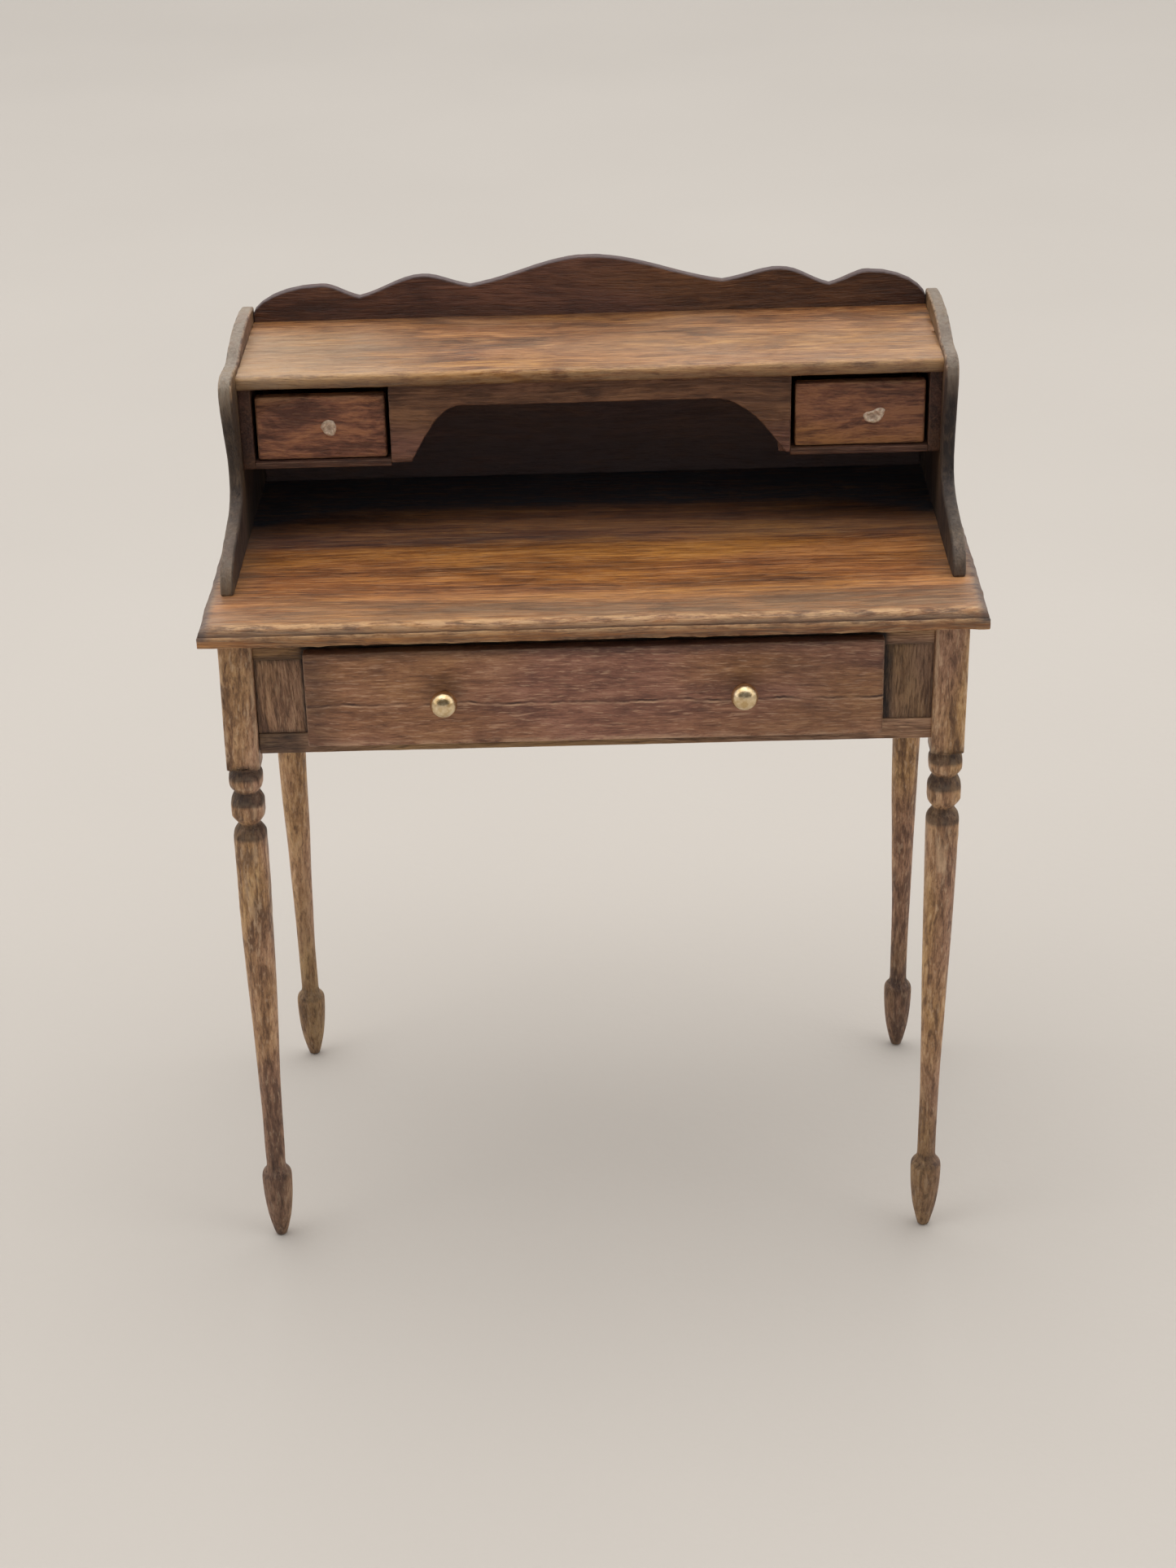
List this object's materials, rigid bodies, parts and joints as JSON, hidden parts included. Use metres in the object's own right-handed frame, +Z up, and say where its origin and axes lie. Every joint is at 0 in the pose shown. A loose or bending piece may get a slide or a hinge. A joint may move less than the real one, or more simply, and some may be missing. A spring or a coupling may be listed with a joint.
{
  "type": "miniature dressing table",
  "caption": "Dolls' house dressing table in stained wood: turned legs, a wide drawer with ball knobs, and a hutch with small drawers, a shelf and a scalloped back",
  "frame": {"origin": "centre of the footprint, on the surface the feet stand on", "axes": "+Z up, +X to the right when seen from the front, front with the drawers facing -Y"},
  "size_m": [0.0676, 0.0388, 0.0866],
  "materials": {
    "amber_wood": "amber walnut stain, rubbed satin with worn edges",
    "red_wood": "red-brown mahogany stain, thin satin polish",
    "leg_wood": "mottled amber-brown stain, satin",
    "grey_wood": "dark greyed walnut stain on cut edges",
    "inner_wood": "thin stain over bare wood, dull",
    "brass": "polished turned brass"
  },
  "bodies": {
    "table": {"tabletop": "amber_wood", "leg_front_left": "leg_wood", "leg_front_right": "leg_wood", "leg_rear_left": "leg_wood", "leg_rear_right": "leg_wood", "front_top_rail": "leg_wood", "front_bottom_rail": "leg_wood", "front_left_stile": "leg_wood", "front_right_stile": "leg_wood", "left_side_apron": "red_wood", "right_side_apron": "red_wood", "rear_apron": "red_wood", "left_drawer_runner": "inner_wood", "right_drawer_runner": "inner_wood", "hutch_left_side": "grey_wood", "hutch_right_side": "grey_wood", "hutch_back": "red_wood", "hutch_shelf": "amber_wood", "hutch_valance": "red_wood", "left_compartment_divider": "red_wood", "right_compartment_divider": "red_wood", "left_compartment_wall": "red_wood", "right_compartment_wall": "red_wood", "left_compartment_floor": "red_wood", "right_compartment_floor": "red_wood"},
    "main_drawer": {"main_drawer_front": "red_wood", "main_drawer_left_side": "inner_wood", "main_drawer_right_side": "inner_wood", "main_drawer_back": "inner_wood", "main_drawer_bottom": "inner_wood", "left_knob": "brass", "right_knob": "brass"},
    "left_small_drawer": {"left_small_drawer_front": "red_wood", "left_small_drawer_inner_side": "inner_wood", "left_small_drawer_outer_side": "inner_wood", "left_small_drawer_back": "inner_wood", "left_small_drawer_bottom": "inner_wood"},
    "right_small_drawer": {"right_small_drawer_front": "red_wood", "right_small_drawer_inner_side": "inner_wood", "right_small_drawer_outer_side": "inner_wood", "right_small_drawer_back": "inner_wood", "right_small_drawer_bottom": "inner_wood"}
  },
  "joints": [
    {"name": "main_drawer_slide", "type": "slide", "parent": "table", "child": "main_drawer", "axis": [0, -1, 0], "range_m": [0, 0.022]},
    {"name": "left_small_drawer_slide", "type": "slide", "parent": "table", "child": "left_small_drawer", "axis": [0, -1, 0], "range_m": [0, 0.009]},
    {"name": "right_small_drawer_slide", "type": "slide", "parent": "table", "child": "right_small_drawer", "axis": [0, -1, 0], "range_m": [0, 0.009]}
  ]
}
